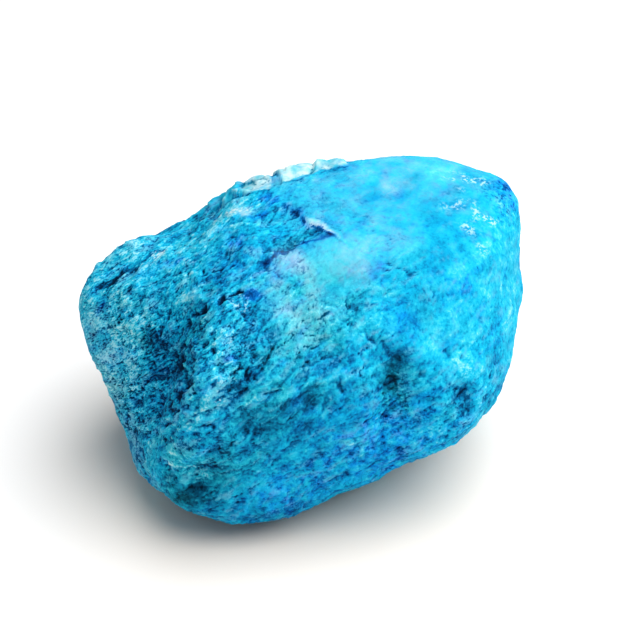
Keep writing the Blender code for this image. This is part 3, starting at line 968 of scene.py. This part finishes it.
keep("rough", rough * (1 - LEDGE_SMOOTHED * on_ledge))
keep("streaky", streaky)
keep("speckled", speckled)
keep("depth", depth)
keep("flecked", flecked)
keep("chalky", chalky)
keep("aqua", aqua)
keep("azure", azure)
keep("lavender", lavender)

paint = bpy.data.materials.new("dyed_howlite")
paint.use_nodes = True
tree = paint.node_tree
shader = tree.nodes["Principled BSDF"]


def math_node(operation, first, second=0.0, third=0.0):
    """The result of one sum on values or outputs."""
    return node(tree, "Math", {0: first, 1: second, 2: third}, operation=operation)["Value"]


def read(name):
    """The stone's own value of that name."""
    return node(tree, "Attribute", attribute_name=name)["Fac"]


# Grain, from the size of the mineral's own grains up to small patches. It is drawn out along the
# beds where the stone is streaky, and swirls elsewhere.
spot = node(tree, "TexCoord")["Object"]
across = node(tree, "VectorMath", {0: spot, 1: tuple(BEDDING_FACE)}, operation="DOT_PRODUCT")["Value"]
pushed = node(tree, "VectorMath", {0: tuple(BEDDING_FACE), "Scale": across}, operation="SCALE")["Vector"]
squeeze = (BEDDING_SQUEEZE - 1,) * 3
drawn_out = node(tree, "VectorMath", {0: pushed, 1: squeeze, 2: spot}, operation="MULTIPLY_ADD")["Vector"]
streaky_here = read("streaky")


def grain_of(size_mm, detail, roughness, swirl):
    """Noise of a size, centred on 0: along the beds where streaky, and swirling elsewhere."""
    settings = {"Scale": 1 / (size_mm * MM), "Detail": detail, "Roughness": roughness}
    along = node(tree, "TexNoise", {"Vector": drawn_out, "Distortion": 0.3, **settings})["Fac"]
    every_way = node(tree, "TexNoise", {"Vector": spot, "Distortion": swirl, **settings})["Fac"]
    either = node(tree, "Mix", {0: streaky_here, 2: every_way, 3: along})["Result"]
    return math_node("SUBTRACT", either, 0.5)


def chips_of(size_mm):
    """Random shades, centred on 0, of crooked flat chips of a size, along the beds where streaky."""
    laid = node(tree, "Mix", {0: streaky_here, 4: spot, 5: drawn_out}, data_type="VECTOR")[1]
    push = node(tree, "TexNoise", {"Vector": laid, "Scale": 1 / (size_mm * MM), "Detail": 2.0})["Color"]
    reach = (0.8 * size_mm * MM,) * 3
    bent = node(tree, "VectorMath", {0: push, 1: reach, 2: laid}, operation="MULTIPLY_ADD")["Vector"]
    cells = node(tree, "TexVoronoi", {"Vector": bent, "Scale": 1 / (size_mm * MM)})["Color"]
    return math_node("SUBTRACT", node(tree, "SeparateColor", {"Color": cells})["Red"], 0.5)


def deepened(amount, gain):
    """The depth of dye and painted shade, with a value times its gain added to it."""
    return math_node("MULTIPLY_ADD", amount, gain, depth_here)


grain = grain_of(size_mm=0.35, detail=2.0, roughness=0.6, swirl=0.3)
patches = grain_of(size_mm=1.2, detail=4.0, roughness=0.65, swirl=0.8)
clouds = grain_of(size_mm=4.5, detail=4.0, roughness=0.5, swirl=1.2)
chips = chips_of(size_mm=0.55)
speckled_here = read("speckled")
rough_here = read("rough")
depth_here = read("depth")

# Each adds to the dye's depth by its least gain, and by more where the stone is speckled
gains = ((grain, 0.04, 0.7), (chips, 0.0, 0.22), (patches, 0.14, 0.8), (clouds, 0.3, 0.1))
for shade, least, more in gains:
    depth_here = deepened(shade, math_node("MULTIPLY_ADD", speckled_here, more, least))

# Dark flecks between the grains, pale crooked veins, and dark creases, whose darkness in the sunk
# creases of the bump is partly painted shade. The share of the stone that flecks and veins cover
# is taken off, so that the whole keeps its depth.
FLECK_SHARE = 0.25
FLECK_DYE = 0.15
VEIN_SHARE = 0.22
VEIN_DYE = 0.19
CREASE_DYE_AND_SHADE = 0.16
flecks = eased(tree, math_node("MULTIPLY_ADD", patches, 0.5, grain), 0.03, 0.12)
fleck_gain = math_node("MULTIPLY", speckled_here, FLECK_DYE)
depth_here = deepened(math_node("SUBTRACT", flecks, FLECK_SHARE), fleck_gain)
crooks = grain_of(size_mm=0.9, detail=3.0, roughness=0.6, swirl=1.0)
veins = eased(tree, math_node("ABSOLUTE", crooks), 0.04, 0.0)
vein_gain = math_node("MULTIPLY", rough_here, VEIN_DYE)
depth_here = deepened(math_node("SUBTRACT", VEIN_SHARE, veins), vein_gain)
crinkle = grain_of(size_mm=1.7, detail=3.0, roughness=0.6, swirl=1.0)
creases = eased(tree, math_node("ABSOLUTE", crinkle), 0.03, 0.0)
creased = eased(tree, clouds, -0.05, 0.05)
crease_gain = math_node("MULTIPLY", creased, math_node("MULTIPLY", rough_here, CREASE_DYE_AND_SHADE))
depth_here = deepened(creases, crease_gain)

# Colour against the depth of the dye, painted shade included: where it is plain, where it has run
# green, and where it is at its bluest
BLUE_STOPS = (
    (0.00, (0.24, 0.66, 0.80)),
    (0.07, (0.13, 0.60, 0.77)),
    (0.16, (0.034, 0.54, 0.74)),
    (0.26, (0.010, 0.46, 0.68)),
    (0.38, (0.004, 0.38, 0.61)),
    (0.50, (0.002, 0.28, 0.51)),
    (0.62, (0.002, 0.175, 0.38)),
    (0.76, (0.001, 0.078, 0.21)),
    (1.00, (0.000, 0.012, 0.040)),
)
AQUA_STOPS = (
    (0.00, (0.42, 0.73, 0.74)),
    (0.07, (0.26, 0.67, 0.70)),
    (0.16, (0.11, 0.58, 0.65)),
    (0.26, (0.040, 0.49, 0.59)),
    (0.38, (0.015, 0.40, 0.51)),
    (0.50, (0.006, 0.28, 0.40)),
    (0.62, (0.002, 0.17, 0.27)),
    (0.76, (0.001, 0.070, 0.12)),
    (1.00, (0.000, 0.010, 0.020)),
)
AZURE_STOPS = (
    (0.00, (0.12, 0.52, 0.86)),
    (0.16, (0.018, 0.41, 0.85)),
    (0.38, (0.003, 0.28, 0.76)),
    (0.50, (0.001, 0.20, 0.58)),
    (0.62, (0.001, 0.12, 0.41)),
    (0.76, (0.000, 0.052, 0.22)),
    (1.00, (0.000, 0.008, 0.050)),
)
LAVENDER = (0.20, 0.40, 0.64, 1.0)
LAVENDER_STRENGTH = 0.5
BARE_MINERAL = (0.52, 0.70, 0.73, 1.0)
FLECK_WHITENESS = 0.75
BREAKING = 4.0  # how strongly grain breaks up the patches of colour and the veil
DULLNESS = 0.8
SHEEN = 0.03
BUMP_STRENGTH = 0.6
BUMP_HEIGHT = 0.0002


def dyed(stops):
    """Colour of the dye at the depth of each point, painted shade included."""
    ramp_node = tree.nodes.new("ShaderNodeValToRGB")
    while len(ramp_node.color_ramp.elements) < len(stops):
        ramp_node.color_ramp.elements.new(0.5)
    for element, (position, colour) in zip(ramp_node.color_ramp.elements, stops):
        element.position = position
        element.color = (*colour, 1.0)
    tree.links.new(depth_here, ramp_node.inputs["Fac"])
    return ramp_node.outputs["Color"]


# The patches of colour are broken up by the grain
broken = math_node("MULTIPLY_ADD", patches, BREAKING, 1.0)
lavender_here = math_node("MULTIPLY", broken, math_node("MULTIPLY", read("lavender"), LAVENDER_STRENGTH))
colour = laid_over(tree, dyed(BLUE_STOPS), dyed(AQUA_STOPS), read("aqua"))
colour = laid_over(tree, colour, dyed(AZURE_STOPS), math_node("MULTIPLY", broken, read("azure")))
colour = laid_over(tree, colour, LAVENDER, lavender_here)

# Bare mineral: a thin broken veil of white, and white flecks, but not where the dye is deep
bare_flecks = math_node("MULTIPLY", read("flecked"), eased(tree, grain, 0.0, -0.07))
veil = math_node("MULTIPLY", broken, read("chalky"))
bare = math_node("MULTIPLY_ADD", bare_flecks, FLECK_WHITENESS, veil)
bare = math_node("MULTIPLY", bare, eased(tree, depth_here, 0.65, 0.45))
colour = laid_over(tree, colour, BARE_MINERAL, bare)
tree.links.new(colour, shader.inputs["Base Color"])
shader.inputs["Roughness"].default_value = DULLNESS
shader.inputs["Specular IOR Level"].default_value = SHEEN

# Grain that can be felt, with sunk creases, where the stone is rough
relief = math_node("MULTIPLY_ADD", creases, -0.15, math_node("ADD", grain, patches))
relief = math_node("MULTIPLY", relief, rough_here)
bump = node(tree, "Bump", {"Height": relief, "Strength": BUMP_STRENGTH, "Distance": BUMP_HEIGHT})
tree.links.new(bump["Normal"], shader.inputs["Normal"])

stone_mesh.materials.append(paint)
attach(stone, "root")
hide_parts("howlite_stone")
